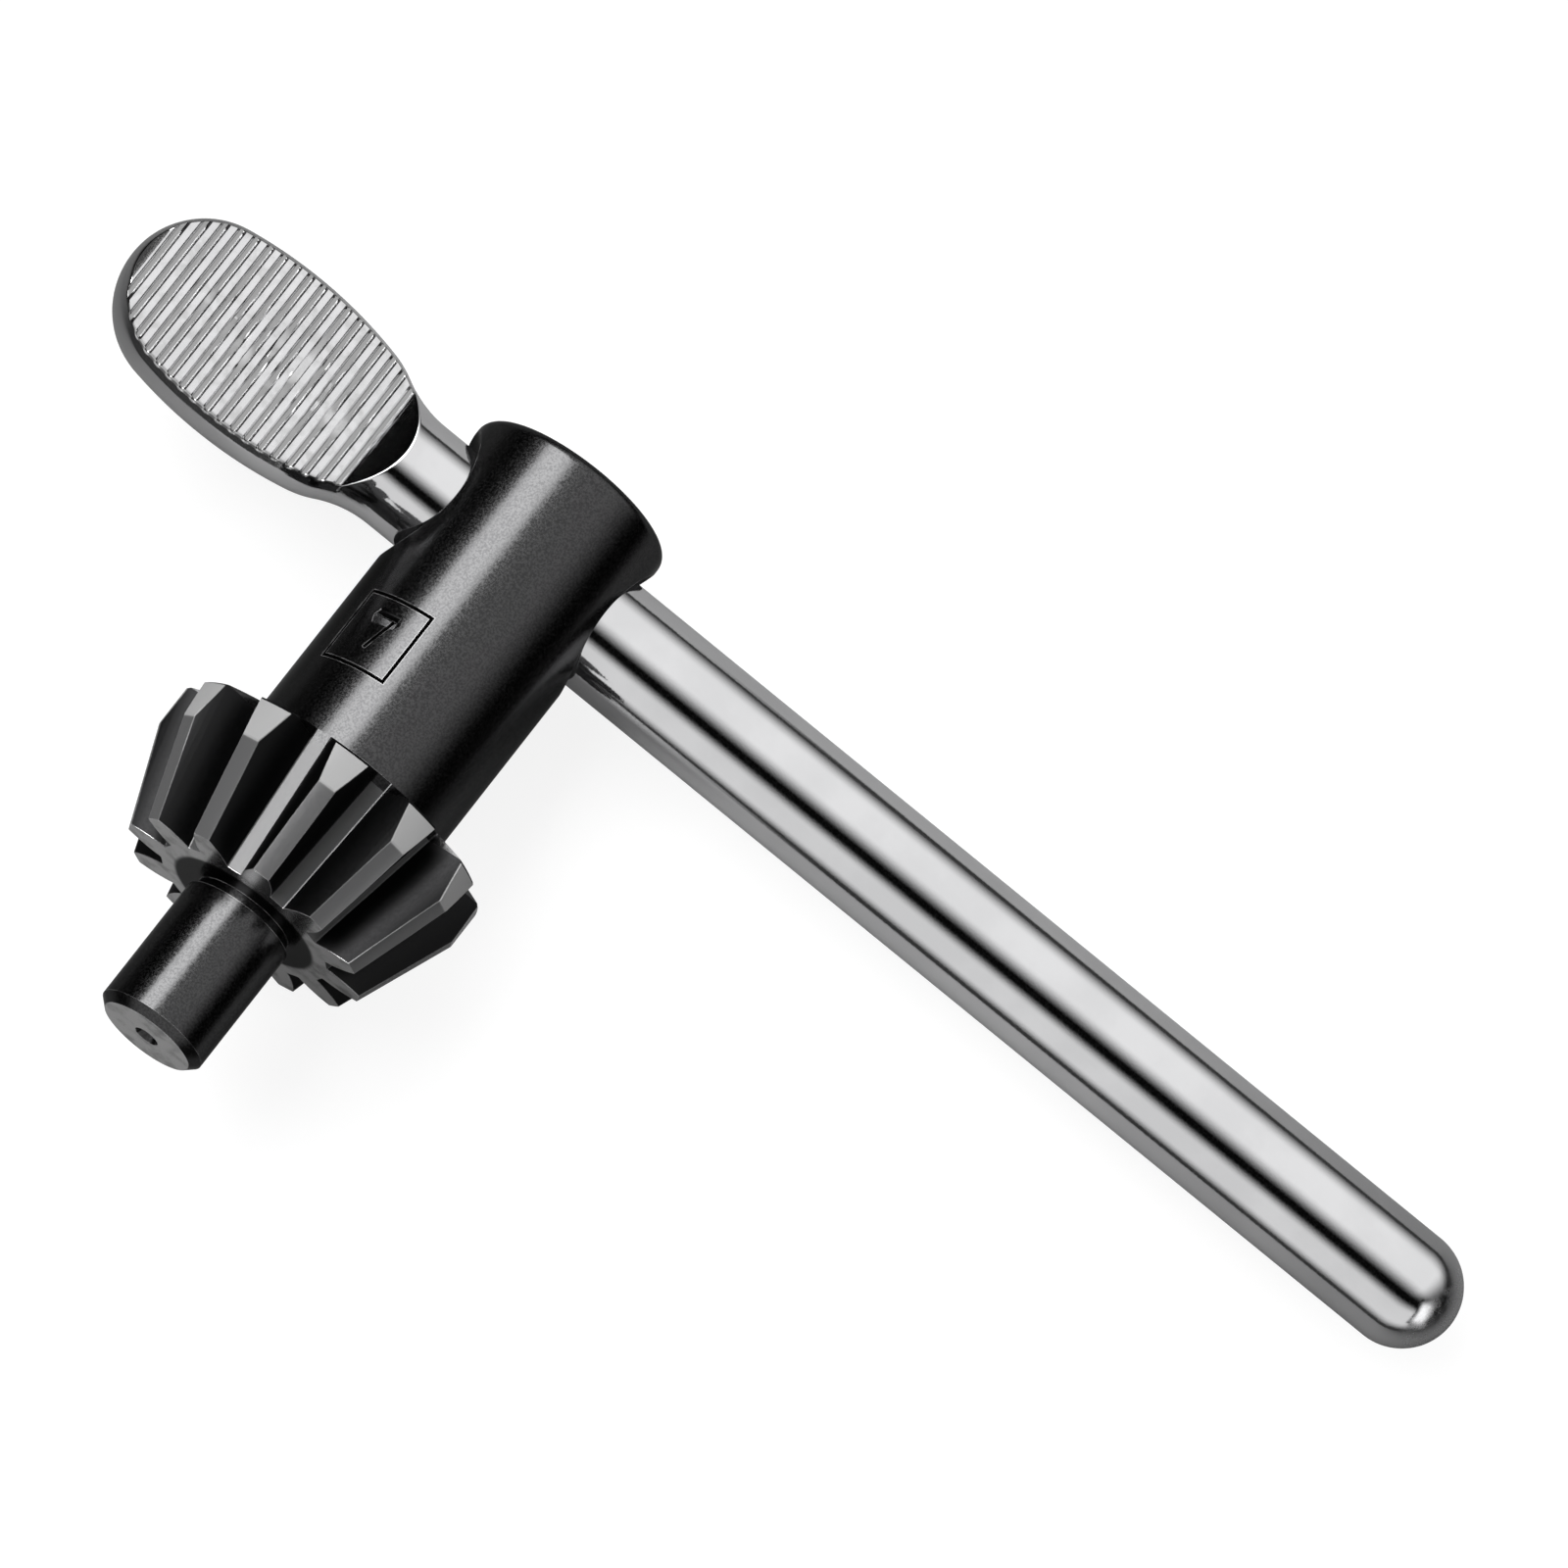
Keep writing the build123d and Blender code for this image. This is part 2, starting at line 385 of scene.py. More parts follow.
edge_wear_and_highlight, g, g_in, g_out = group_tree(
    "edge wear and highlight",
    [("Width", "NodeSocketFloat", 0.15 * MM), ("Break up", "NodeSocketFloat", 900.0)],
    [("Mask", "NodeSocketFloat")],
)
geometry = g.add("ShaderNodeNewGeometry")
rounded = g.add("ShaderNodeBevel", samples=6)
g.join(g_in.outputs["Width"], rounded.inputs["Radius"])
facing = g.add("ShaderNodeVectorMath", operation="DOT_PRODUCT")
g.join(geometry.outputs["Normal"], facing.inputs[0])
g.join(rounded.outputs["Normal"], facing.inputs[1])
bend = g.math("SUBTRACT", 1.0, facing.outputs["Value"])
edge = g.spread(bend, *BEND_RANGE)
patches = g.add("ShaderNodeTexNoise")
coordinates = g.add("ShaderNodeTexCoord")
g.join(coordinates.outputs["Object"], patches.inputs["Vector"])
g.join(g_in.outputs["Break up"], patches.inputs["Scale"])
patches.inputs["Detail"].default_value = 3.0
kept = g.spread(patches.outputs["Fac"], *PATCH_RANGE, LEAST_WEAR, 1.0)
g.join(g.math("MULTIPLY", edge, kept), g_out.inputs["Mask"])

# Fine grain, used by both metals: small bumps and stains at the scale of the
# metal's own surface.
fine_grain, g, g_in, g_out = group_tree(
    "fine grain",
    [
        ("Vector", "NodeSocketVector", None),
        ("Grain scale", "NodeSocketFloat", 6000.0),
        ("Cloud scale", "NodeSocketFloat", 250.0),
    ],
    [("Grain", "NodeSocketFloat"), ("Cloud", "NodeSocketFloat")],
)
for scale_name, out_name, detail in (("Grain scale", "Grain", 2.0), ("Cloud scale", "Cloud", 4.0)):
    speckle = g.add("ShaderNodeTexNoise")
    g.join(g_in.outputs["Vector"], speckle.inputs["Vector"])
    g.join(g_in.outputs[scale_name], speckle.inputs["Scale"])
    speckle.inputs["Detail"].default_value = detail
    g.join(speckle.outputs["Fac"], g_out.inputs[out_name])


def new_material(name):
    """A node material: its Principled shader and a short way to add nodes."""
    material = bpy.data.materials.new(name)
    material.use_nodes = True
    return material, Nodes(material.node_tree), material.node_tree.nodes["Principled BSDF"]


def use_group(nodes, tree, vector=None, **values):
    """One use of a group, with its own values."""
    node = nodes.add("ShaderNodeGroup", node_tree=tree)
    if vector is not None:
        nodes.join(vector, node.inputs["Vector"])
    for name, value in values.items():
        node.inputs[name.replace("_", " ")].default_value = value
    return node


def add_bump(nodes, shader, height, distance):
    """Fine bumps on a shader's surface."""
    bump = nodes.add("ShaderNodeBump")
    bump.inputs["Distance"].default_value = distance
    bump.inputs["Strength"].default_value = 0.6
    nodes.join(height, bump.inputs["Height"])
    nodes.join(bump.outputs["Normal"], shader.inputs["Normal"])


def upright_place(nodes):
    """The place on the upright key, as a mapping node and as its three parts."""
    coordinates = nodes.add("ShaderNodeTexCoord")
    upright = nodes.add("ShaderNodeMapping", vector_type="TEXTURE")
    upright.inputs["Location"].default_value = lying.translation
    upright.inputs["Rotation"].default_value = lying.to_euler()
    nodes.join(coordinates.outputs["Object"], upright.inputs["Vector"])
    parts = nodes.add("ShaderNodeSeparateXYZ")
    nodes.join(upright.outputs["Vector"], parts.inputs[0])
    return upright, parts


BLACK_OXIDE = (0.053, 0.053, 0.054, 1)
WORN_OXIDE = (0.082, 0.082, 0.083, 1)
# Painted shade that darkens the tooth flanks inside the tooth spaces.
FLANK_PAINTED_SHADE = (0.020, 0.020, 0.0205, 1)
THIN_OXIDE_AND_EDGE_HIGHLIGHT = (0.30, 0.30, 0.303, 1)
TURNED_OXIDE = (0.165, 0.165, 0.167, 1)
ROOT_OXIDE = (0.10, 0.10, 0.101, 1)
FACED_STEEL = (0.92, 0.92, 0.92, 1)
BARE_STEEL = (0.31, 0.31, 0.31, 1)
# Painted shade that fills the stamped grooves of the size mark.
MARK_PAINTED_SHADE = (0.0005, 0.0005, 0.0005, 1)
FRONT_RELIEF = 5.6 * MM
MOST_RUBBED = 0.9
CONE_DULL = 0.5
FLOOR_DULL = 0.7
RUBBED_DULL = 0.6
OXIDE_ROUGHNESS = (0.16, 0.26)
MARK_ROUGHER = 0.5
FLANK_ROUGHER = 0.22

black_oxide, m, shader = new_material("black oxide steel")
upright, along = upright_place(m)
height = along.outputs["Z"]
across_squared = [m.math("POWER", along.outputs[axis], 2.0) for axis in "XY"]
radius = m.math("POWER", m.math("ADD", *across_squared), 0.5)

# Masks of the turned and milled faces, from the height and the radius.
before_chamfer = m.spread(height, PINION_RIM - 1.1 * RIM_CHAMFER, PINION_RIM - 0.9 * RIM_CHAMFER, 1.0, 0.0)
near_band = m.spread(radius, BAND_RADIUS - 0.10 * MM, BAND_RADIUS - 0.03 * MM)
on_band = m.product(near_band, before_chamfer)
off_barrel = m.spread(radius, BARREL_RADIUS + 0.2 * MM, BARREL_RADIUS + 0.3 * MM)
on_rim = m.math("SUBTRACT", off_barrel, before_chamfer, clamp=True)
on_tip = m.spread(height, pilot_tip, pilot_tip + 0.02 * MM, 1.0, 0.0)
past_relief = m.spread(height, PINION_FRONT - 0.02 * MM, PINION_FRONT - 0.01 * MM)
before_teeth = m.spread(height, PINION_FRONT + 0.01 * MM, PINION_FRONT + 0.02 * MM, 1.0, 0.0)
outside_relief = m.spread(radius, FRONT_RELIEF - 0.2 * MM, FRONT_RELIEF + 0.2 * MM)
on_front = m.product(past_relief, before_teeth, outside_relief)
past_front = m.spread(height, PINION_FRONT + 0.02 * MM, PINION_FRONT + 0.04 * MM)
before_rim = m.product(past_front, m.spread(height, PINION_RIM - 0.05 * MM, PINION_RIM, 1.0, 0.0))

root_rise = math.tan(root_slope)
root = m.math("ADD", m.math("MULTIPLY", height, root_rise), ROOT_FRONT - PINION_FRONT * root_rise)
root_gap = m.math("ABSOLUTE", m.math("SUBTRACT", radius, root))
on_floor = m.product(m.spread(root_gap, 0.04 * MM, 0.08 * MM, 1.0, 0.0), before_rim)
cone_rise = (BAND_RADIUS - FRONT_RADIUS) / (BAND_FRONT - PINION_FRONT)
cone = m.math("ADD", m.math("MULTIPLY", height, cone_rise), FRONT_RADIUS - PINION_FRONT * cone_rise)
near_cone = m.spread(m.math("SUBTRACT", radius, cone), -0.07 * MM, -0.03 * MM)
on_cone = m.product(near_cone, m.spread(height, PINION_FRONT, PINION_FRONT + 0.02 * MM))
off_flank = m.math("MAXIMUM", m.math("MAXIMUM", on_cone, on_floor), on_band)
on_flank = m.math("SUBTRACT", before_rim, off_flank, clamp=True)
below_skin = m.spread(radius, BARREL_RADIUS - 0.10 * MM, BARREL_RADIUS - 0.04 * MM, 1.0, 0.0)
above_low = m.spread(height, MARK_LOW - 0.4 * MM, MARK_LOW - 0.3 * MM)
below_high = m.spread(height, MARK_HIGH + 0.3 * MM, MARK_HIGH + 0.4 * MM, 1.0, 0.0)
in_mark = m.product(below_skin, above_low, below_high)

# Colours: the oxide is flecked, brighter where it was turned, thin on edges,
# and gone from the faced ends and the band. A painted highlight lightens the
# edges, painted shade darkens the tooth flanks, and the stamped mark is filled
# with painted shade.
grain = use_group(m, fine_grain, upright.outputs["Vector"], Grain_scale=7000.0, Cloud_scale=300.0)
blotches = use_group(m, fine_grain, upright.outputs["Vector"], Grain_scale=1400.0, Cloud_scale=700.0)
wear = use_group(m, edge_wear_and_highlight, Width=0.12 * MM)
skin_colour = m.mix(m.spread(grain.outputs["Grain"], 0.35, 0.65), BLACK_OXIDE, WORN_OXIDE)
blotched = m.spread(blotches.outputs["Cloud"], 0.30, 0.55, 0.55, 1.0)
faced = m.product(m.math("MAXIMUM", on_tip, on_front), blotched)
# Convex edges are lighter: partly the oxide rubbed thin, partly a painted highlight along them.
rubbed = m.product(wear.outputs["Mask"], m.math("SUBTRACT", MOST_RUBBED, on_rim, clamp=True))
for mask, colour in (
    (on_flank, FLANK_PAINTED_SHADE), (on_floor, ROOT_OXIDE), (on_cone, TURNED_OXIDE), (faced, FACED_STEEL),
    (rubbed, THIN_OXIDE_AND_EDGE_HIGHLIGHT), (on_band, BARE_STEEL), (in_mark, MARK_PAINTED_SHADE),
):
    skin_colour = m.mix(mask, skin_colour, colour)
m.join(skin_colour, shader.inputs["Base Color"])

# The oxide mirrors like a dark metal, and its worn places like a dull one.
dulled = m.math("ADD", m.product(on_cone, CONE_DULL), m.product(on_floor, FLOOR_DULL))
dulled = m.math("MAXIMUM", m.math("MAXIMUM", dulled, on_band), m.product(rubbed, RUBBED_DULL))
m.join(m.math("SUBTRACT", 1.0, dulled, clamp=True), shader.inputs["Metallic"])
shader.inputs["Specular Tint"].default_value = (0.5, 0.5, 0.5, 1)
roughness = m.spread(grain.outputs["Grain"], 0.3, 0.7, *OXIDE_ROUGHNESS)
rougher = m.math("ADD", m.product(in_mark, MARK_ROUGHER), m.product(on_flank, FLANK_ROUGHER))
m.join(m.math("ADD", roughness, rougher), shader.inputs["Roughness"])
add_bump(m, shader, grain.outputs["Grain"], 0.004 * MM)
shader.inputs["IOR"].default_value = 1.7

key_body.data.materials.append(black_oxide)
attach(key_body, "root")
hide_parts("key_body")

# Handle: a round steel bar, pressed through the barrel and plated bright. Its
# long end is a hemisphere. Its short end was forged into a thumb plate between
# two ribbed dies, and thumbs have worn the ribs in the middle.
SHORT_ARM = 32.6 * MM
NOSE_RADIUS = 6.1 * MM
PLATE_HALF_WIDTH = 6.5 * MM
SIDE_RADIUS = 32.0 * MM
SHOULDER_START = 15.0 * MM
SHOULDER_RADIUS = 7.3 * MM
NECK_RADIUS = 8.0 * MM

HALF_THICKNESS = 2.3 * MM
FLAT_START = 12.4 * MM
PLATE_EDGE = 0.15 * MM
PLATE_CHAMFER_LOW = 1.45 * MM
PLATE_CHAMFER_SLOPE = 60
RAMP_EDGE = 0.12 * MM
HANDLE_CRISP = 30

centre_drop = SIDE_RADIUS - PLATE_HALF_WIDTH
nose_centre = NOSE_RADIUS - SHORT_ARM
side_heading = math.acos(centre_drop / (SIDE_RADIUS - NOSE_RADIUS))
widest = nose_centre + (SIDE_RADIUS - NOSE_RADIUS) * math.sin(side_heading)
nose_end = nose_centre - NOSE_RADIUS * math.sin(side_heading)
shoulder_heading = math.asin((-SHOULDER_START - widest) / SIDE_RADIUS)
shoulder_centre = (
    -SHOULDER_START - SHOULDER_RADIUS * math.sin(shoulder_heading),
    (SIDE_RADIUS - SHOULDER_RADIUS) * math.cos(shoulder_heading) - centre_drop,
)
neck_rise = BAR_RADIUS + NECK_RADIUS - shoulder_centre[1]
neck_heading = math.acos(neck_rise / (SHOULDER_RADIUS + NECK_RADIUS))
neck_start = shoulder_centre[0] + SHOULDER_RADIUS * math.sin(neck_heading)
neck_end = shoulder_centre[0] + (SHOULDER_RADIUS + NECK_RADIUS) * math.sin(neck_heading)
tip_centre = LONG_ARM - BAR_RADIUS


def bar_radius(x):
    """The radius of the bar before it is pressed: five arcs and a straight."""
    if x < nose_end:
        return math.sqrt(max(0, NOSE_RADIUS ** 2 - (x - nose_centre) ** 2))
    if x < -SHOULDER_START:
        return math.sqrt(SIDE_RADIUS ** 2 - (x - widest) ** 2) - centre_drop
    if x < neck_start:
        return shoulder_centre[1] + math.sqrt(SHOULDER_RADIUS ** 2 - (x - shoulder_centre[0]) ** 2)
    if x < neck_end:
        return BAR_RADIUS + NECK_RADIUS - math.sqrt(NECK_RADIUS ** 2 - (x - neck_end) ** 2)
    if x < tip_centre:
        return BAR_RADIUS
    return math.sqrt(max(0, BAR_RADIUS ** 2 - (x - tip_centre) ** 2))


# The dies that press the plate have a ridge for every groove, a ramp where
# the round bar begins and a slope at the tip. Years of thumbs have rubbed the
# ribs down in the middle and left them nicked.
RIB_PITCH = 1.09 * MM
FIRST_GROOVE = 0.3 * MM
GROOVES = 18
GROOVE_DEPTH = 0.17 * MM
GROOVE_FLOOR = 0.12 * MM
GROOVE_TOP = 0.32 * MM
TIP_SLOPE = 35
RUB_DEPTH = 0.012 * MM
DENT_DEPTH = 0.14 * MM
WEAR_MIDDLE = -20.5 * MM
WEAR_LENGTH = 6.5 * MM
WEAR_WIDTH = 2.8 * MM
RUB_SCALE = (650, 420)
RUB_SEED = -3
RUB_LIFT = 0.1
RUB_GAIN = 2.6
MOST_LOWERED = 0.7
DENT_SCALE = (1900, 1500)
DENT_SEED = 7
DENT_FROM = 0.03
RIPPLE = 0.02 * MM
RIPPLE_SCALE = (120, 260)
RIPPLE_SEED = 9
groove_places = [-FLAT_START - FIRST_GROOVE - RIB_PITCH * i for i in range(GROOVES)]
slope_start = groove_places[-1] - 0.45 * MM


def uneven(x, z, scale, seed):
    """Smooth noise at a place on one face of the plate."""
    return noise.noise(Vector((x * scale[0], z * scale[1], seed)))


def worn(x, z, face):
    """Wear of one face (1 or -1) at a place: how far its ribs are rubbed down, and its dents."""
    middle = math.exp(-((x - WEAR_MIDDLE) / WEAR_LENGTH) ** 2 - (z / WEAR_WIDTH) ** 2)
    rubbed = max(0, uneven(x, z, RUB_SCALE, RUB_SEED * face) + RUB_LIFT) * RUB_GAIN * middle
    dent = max(0, uneven(x, z, DENT_SCALE, DENT_SEED * face) - DENT_FROM) * DENT_DEPTH * middle
    return min(1, rubbed), dent


def die_level(x):
    """The height of the die without its ridges: a ramp, a flat and the slope at the tip."""
    if x > -FLAT_START:
        return HALF_THICKNESS + x + FLAT_START
    return HALF_THICKNESS + min(0, x - slope_start) * math.tan(math.radians(TIP_SLOPE))


def die_face(x, z, face):
    """Where a vertex at x ends under the die: its place along the bar and its height."""
    if x > -FLAT_START or x < slope_start:
        return x, die_level(x)
    rubbed, dent = worn(x, z, face)
    kept = 1 - MOST_LOWERED * rubbed
    top = HALF_THICKNESS - RUB_DEPTH * rubbed - dent
    groove = min(groove_places, key=lambda middle: abs(x - middle))
    into = GROOVE_TOP - abs(x - groove)
    if into <= 0:
        return x, top
    share = min(1, into / (GROOVE_TOP - GROOVE_FLOOR))
    if abs(x - groove) > GROOVE_FLOOR / 2:
        x = groove + math.copysign(GROOVE_TOP - into * kept, x - groove)
    return x, top - GROOVE_DEPTH * share * kept


def softly_lower(first, second, reach):
    """The lower of two heights, rounded where they cross."""
    near = max(0, reach - abs(first - second)) / reach
    return min(first, second) - near * near * reach / 4


# The blank is turned from stations along the bar, which are close where the
# die has detail. Then each of its vertices is pressed: it slides round the bar
# so that the columns follow the edge of the flat, and drops to the die.
GROOVE_STEPS = (-0.43, -0.32, -0.22, -0.12, 0.0, 0.12, 0.22, 0.32, 0.43)
NOSE_STEPS = 16
RAMP_STEPS = 29
RAMP_STEP = 0.08 * MM
NECK_STEPS = 24
ARM_STEPS = 60
TIP_STEPS = 32


def evenly(start, end, steps):
    """Stations from one place, which is left out, to another."""
    return [start + (end - start) * i / steps for i in range(1, steps + 1)]


nose_reach = slope_start + SHORT_ARM
stations = [nose_reach * (i / NOSE_STEPS) ** 2 - SHORT_ARM for i in range(NOSE_STEPS + 1)]
for groove_x in reversed(groove_places):
    stations += [groove_x + step * MM for step in GROOVE_STEPS]
stations += [-FLAT_START - 0.01 * MM]
stations += [-FLAT_START + RAMP_STEP * i for i in range(1, RAMP_STEPS + 1)]
stations += evenly(stations[-1], neck_end, NECK_STEPS)
stations += evenly(neck_end, tip_centre, ARM_STEPS)
stations += [tip_centre + BAR_RADIUS * math.sin(angle) for angle in evenly(0, math.pi / 2, TIP_STEPS)]

# Each quarter of the bar has side columns, below the edge of the flat, and flat
# columns above it. Both crowd together at that edge, which is the finest place.
SIDE_STEPS = 14
FLAT_STEPS = 26
SIDE_CROWDING = 1.6
FLAT_CROWDING = 1.5
STEEPEST_EDGE = 0.94
LEAST_REACH = 0.1 * MM
quarter = SIDE_STEPS + FLAT_STEPS
skin = turned([(x, bar_radius(x)) for x in stations], "X", 4 * quarter)
for vert in skin.verts:
    x, y, z = vert.co
    reach = bar_radius(x)
    flat_edge = math.asin(min(STEEPEST_EDGE, die_level(x) / max(reach, LEAST_REACH)))
    step = quarter * math.atan2(abs(y), abs(z)) / (math.pi / 2)
    side = 1 - max(0, 1 - step / SIDE_STEPS) ** SIDE_CROWDING
    flat = (max(0, step - SIDE_STEPS) / FLAT_STEPS) ** FLAT_CROWDING
    z = math.copysign(reach * math.cos(flat_edge * side) * (1 - flat), z)
    face = math.copysign(1, y)
    height = math.sqrt(max(0, reach ** 2 - z ** 2))
    pressed_x, die = die_face(x, z, face)
    if x > -FLAT_START:
        height = softly_lower(height, die, RAMP_EDGE)
    else:
        chamfer_foot = math.sqrt(max(0, reach ** 2 - PLATE_CHAMFER_LOW ** 2))
        inside_foot = max(0, chamfer_foot - abs(z))
        chamfer = PLATE_CHAMFER_LOW + inside_foot * math.tan(math.radians(PLATE_CHAMFER_SLOPE))
        height = softly_lower(softly_lower(height, chamfer, PLATE_EDGE), die, PLATE_EDGE)
        pressed_x += RIPPLE * uneven(x, z, RIPPLE_SCALE, RIPPLE_SEED * face)
    vert.co = (pressed_x, face * height, z)
bmesh.ops.recalc_face_normals(skin, faces=skin.faces)
handle = mesh_object("handle_finished", laid(skin))
shade(handle, HANDLE_CRISP)

CHROME = (0.86, 0.86, 0.87, 1)
CLOUDED_CHROME = (0.80, 0.80, 0.81, 1)
GROOVE_PAINTED_SHADE = (0.40, 0.40, 0.40, 1)
SCUFFED = (0.62, 0.62, 0.62, 1)
MOST_SCUFFED = 0.7
PLATED_ROUGHNESS = (0.05, 0.10)
RIBS_ROUGHER = 0.10
SCRAPED_ROUGHER = (0.06, 0.24)

bright_plate, m, shader = new_material("bright plated steel")
upright, along = upright_place(m)
grain = use_group(m, fine_grain, upright.outputs["Vector"], Grain_scale=6500.0, Cloud_scale=180.0)
scuffs = use_group(m, fine_grain, upright.outputs["Vector"], Grain_scale=2600.0, Cloud_scale=900.0)
on_plate = m.spread(along.outputs["X"], -FLAT_START - 0.05 * MM, -FLAT_START, 1.0, 0.0)
level = m.math("ABSOLUTE", along.outputs["Y"])
near_level = m.spread(level, HALF_THICKNESS - 0.24 * MM, HALF_THICKNESS - 0.20 * MM)
near_flat = m.product(on_plate, near_level)
below_ribs = m.spread(level, HALF_THICKNESS - 0.15 * MM, HALF_THICKNESS - 0.04 * MM, 1.0, 0.0)
in_groove = m.product(near_flat, below_ribs)
scuffed = m.product(near_flat, m.spread(scuffs.outputs["Cloud"], 0.45, 0.70))
tint = m.mix(m.spread(grain.outputs["Cloud"], 0.35, 0.65), CHROME, CLOUDED_CHROME)
tint = m.mix(m.product(scuffed, MOST_SCUFFED), tint, SCUFFED)
# Painted shade darkens the grooves between the ribs.
tint = m.mix(in_groove, tint, GROOVE_PAINTED_SHADE)
m.join(tint, shader.inputs["Base Color"])
shader.inputs["Metallic"].default_value = 1.0

# The plating is polished, a little duller on the ribs, and scraped at the end.
roughness = m.spread(grain.outputs["Grain"], 0.3, 0.7, *PLATED_ROUGHNESS)
on_end = m.spread(along.outputs["X"], tip_centre + 0.8 * MM, tip_centre + 2.4 * MM)
scraped = m.product(on_end, m.spread(scuffs.outputs["Cloud"], 0.35, 0.65, *SCRAPED_ROUGHER))
rougher = m.math("ADD", m.product(near_flat, RIBS_ROUGHER), scraped)
m.join(m.math("ADD", roughness, rougher), shader.inputs["Roughness"])
add_bump(m, shader, grain.outputs["Grain"], 0.003 * MM)

handle.data.materials.append(bright_plate)
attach(handle, "root")
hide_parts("handle")

# The table: a pale sheet under the key. To the camera it is lifted to white,
# and the key's shadow stays on it. Away from the key, and towards both ends of
# the bar, its colour and its glow in metal are darkened: painted shade, as under
# a light on its middle. The sides of the bar and the rim of the plate mirror
# that painted shade.
FLOOR_HALF = 3.0
SHEET = (0.22, 0.22, 0.22, 1)
SHEET_PAINTED_SHADE = (0.01, 0.01, 0.01, 1)
SHEET_ROUGHNESS = 0.9
SHEET_SPECULAR = 0.1
WHITE = (1, 1, 1, 1)
LIFT_WHERE_LIT = 0.84
PAINTED_GLOW_IN_METAL = 0.055

table = bmesh.new()
bmesh.ops.create_grid(table, x_segments=1, y_segments=1, size=FLOOR_HALF)
floor = mesh_object("table", table)
pale_sheet, m, shader = new_material("pale sheet")
coordinates = m.add("ShaderNodeTexCoord")
across = m.add("ShaderNodeSeparateXYZ")
m.join(coordinates.outputs["Object"], across.inputs[0])
from_bar = m.math("ABSOLUTE", m.math("SUBTRACT", across.outputs["Y"], axes_cross.y))
from_body = m.math("ABSOLUTE", m.math("SUBTRACT", across.outputs["X"], axes_cross.x))
from_middle = m.math("ABSOLUTE", across.outputs["X"])
near_bar = m.spread(from_bar, 40 * MM, 66 * MM, 1.0, 0.0)
beside_bar = m.product(near_bar, m.spread(from_middle, 18 * MM, 98 * MM, 1.0, 0.0))
near_body = m.spread(from_body, 14 * MM, 34 * MM, 1.0, 0.0)
beside_body = m.product(near_body, m.spread(from_bar, 80 * MM, 120 * MM, 1.0, 0.0))
# Painted light on the sheet: 1 near the body and the bar, 0 in the painted shade away from them.
painted_light = m.math("MAXIMUM", beside_bar, beside_body)
m.join(m.mix(painted_light, SHEET_PAINTED_SHADE, SHEET), shader.inputs["Base Color"])
shader.inputs["Roughness"].default_value = SHEET_ROUGHNESS
shader.inputs["Specular IOR Level"].default_value = SHEET_SPECULAR
shader.inputs["Emission Color"].default_value = WHITE
rays = m.add("ShaderNodeLightPath")
for_camera = m.product(rays.outputs["Is Camera Ray"], m.spread(painted_light, 0.0, 1.0, 1.0, LIFT_WHERE_LIT))
# Metal sees the sheet glow only where the painted light is.
for_metal = m.product(rays.outputs["Is Glossy Ray"], m.product(painted_light, PAINTED_GLOW_IN_METAL))
m.join(m.math("ADD", for_camera, for_metal), shader.inputs["Emission Strength"])
floor.data.materials.append(pale_sheet)

# Studio light: two broad paper panels overhead with a gap between them, which
# the bar mirrors as its dark line, a strong lamp for the barrel's bright strip,
# and a small card for the glint at the bar's end. Each is brightest in its
# middle and fades towards its edges, over an angle of its own at each edge.
LIGHT_DISTANCE = 1.2


def light_panel(name, lean_x, lean_y, left, right, near, far, radiance):
    """A glowing sheet that faces the key. Each side is (angle to the edge, fade)."""
    to_left, to_right, to_near, to_far = (
        LIGHT_DISTANCE * math.tan(math.radians(side[0])) for side in (left, right, near, far)
    )
    middle = ((to_right - to_left) / 2, (to_far - to_near) / 2, 0)
    sheet = bmesh.new()
    bmesh.ops.create_grid(sheet, x_segments=1, y_segments=1, size=0.5)
    bmesh.ops.scale(sheet, verts=sheet.verts, vec=(to_left + to_right, to_near + to_far, -1))
    bmesh.ops.translate(sheet, verts=sheet.verts, vec=middle)
    panel = mesh_object(name, sheet)
    paper, m, shader = new_material(name)
    coordinates = m.add("ShaderNodeTexCoord")
    parts = m.add("ShaderNodeSeparateXYZ")
    m.join(coordinates.outputs["Object"], parts.inputs[0])
    strength = radiance
    for axis, sign, (edge, fade) in (("X", -1, left), ("X", 1, right), ("Y", -1, near), ("Y", 1, far)):
        angle = m.math("ARCTANGENT", m.product(parts.outputs[axis], sign / LIGHT_DISTANCE))
        share = m.spread(angle, math.radians(edge - fade), math.radians(edge), 1.0, 0.0)
        strength = m.product(share, strength)
    shader.inputs["Base Color"].default_value = (0, 0, 0, 1)
    shader.inputs["Specular IOR Level"].default_value = 0
    shader.inputs["Emission Color"].default_value = WHITE
    m.join(strength, shader.inputs["Emission Strength"])
    panel.data.materials.append(paper)
    towards = Matrix.Rotation(math.radians(-lean_y), 3, "X") @ Matrix.Rotation(math.radians(lean_x), 3, "Y")
    panel.location = towards @ Vector((0, 0, LIGHT_DISTANCE))
    panel.rotation_euler = towards.to_euler()
    panel.visible_camera = False
    panel.visible_shadow = False


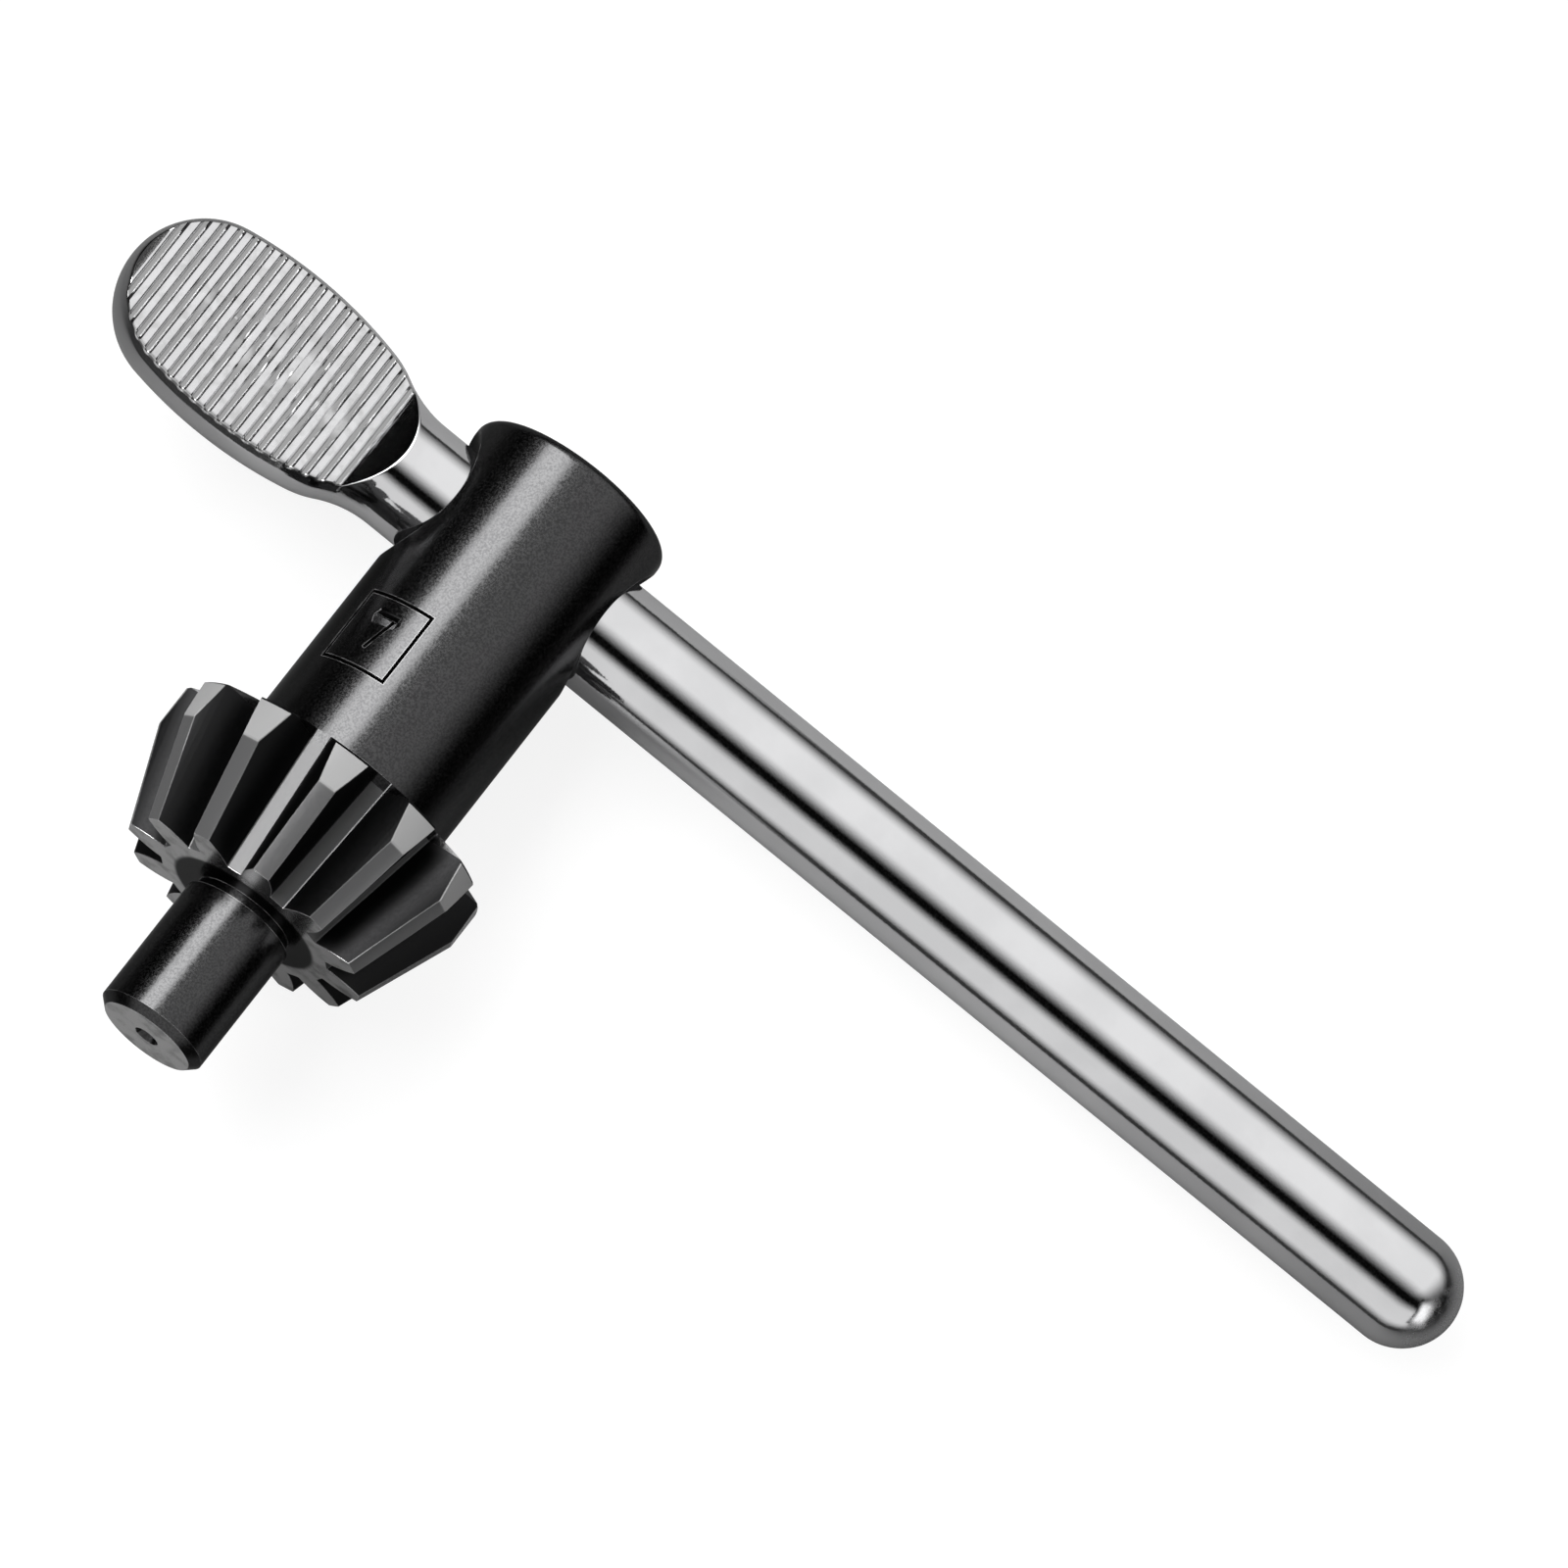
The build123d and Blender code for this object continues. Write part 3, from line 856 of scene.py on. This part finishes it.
light_panel("panel behind", 0, 40, (66, 36), (66, 36), (54, 32), (58, 38), 0.88)
light_panel("panel in front", 0, -58, (62, 20), (62, 20), (38, 24), (36, 22), 0.72)
light_panel("side lamp", -34.5, 21, (18, 5), (19, 8), (40, 6), (33, 6), 7.0)
light_panel("end card", 63, -34, (15, 10), (15, 10), (26, 14), (24, 14), 1.2)

# The room is dark to the key and white to the camera.
ROOM = 0.002

world = bpy.data.worlds.new("studio")
bpy.context.scene.world = world
world.use_nodes = True
m = Nodes(world.node_tree)
background = world.node_tree.nodes["Background"]
background.inputs["Color"].default_value = WHITE
rays = m.add("ShaderNodeLightPath")
m.join(m.spread(rays.outputs["Is Camera Ray"], 0.0, 1.0, ROOM, 1.0), background.inputs["Strength"])

# The camera looks almost straight down through a long lens, leaning a little
# towards the pilot, and is turned so that the bar runs down to the right.
CAMERA_ELEVATION = 82.46
CAMERA_AZIMUTH = -6.67
CAMERA_TURN = 44.81
CAMERA_DISTANCE = 1.6
SENSOR_MM = 36
FRAME_WIDTH = 103.2 * MM
FRAME_RIGHT = 17.58 * MM
FRAME_DOWN = 14.39 * MM

azimuth, elevation = math.radians(CAMERA_AZIMUTH), math.radians(CAMERA_ELEVATION)
back = Vector((
    math.sin(azimuth) * math.cos(elevation), -math.cos(azimuth) * math.cos(elevation), math.sin(elevation),
))
upright_view = (-back).to_track_quat("-Z", "Y").to_matrix()
camera_view = upright_view @ Matrix.Rotation(math.radians(CAMERA_TURN), 3, "Z")
camera_data = bpy.data.cameras.new("camera")
camera_data.sensor_width = SENSOR_MM
camera_data.lens = SENSOR_MM * CAMERA_DISTANCE / FRAME_WIDTH
camera_data.clip_start, camera_data.clip_end = 0.1, 20
camera = bpy.data.objects.new("camera", camera_data)
camera.rotation_euler = camera_view.to_euler()
aim = axes_cross + camera_view @ Vector((FRAME_RIGHT, -FRAME_DOWN, 0))
camera.location = aim + back * CAMERA_DISTANCE
bpy.context.scene.collection.objects.link(camera)
bpy.context.scene.camera = camera
bpy.context.scene.view_settings.view_transform = "Standard"
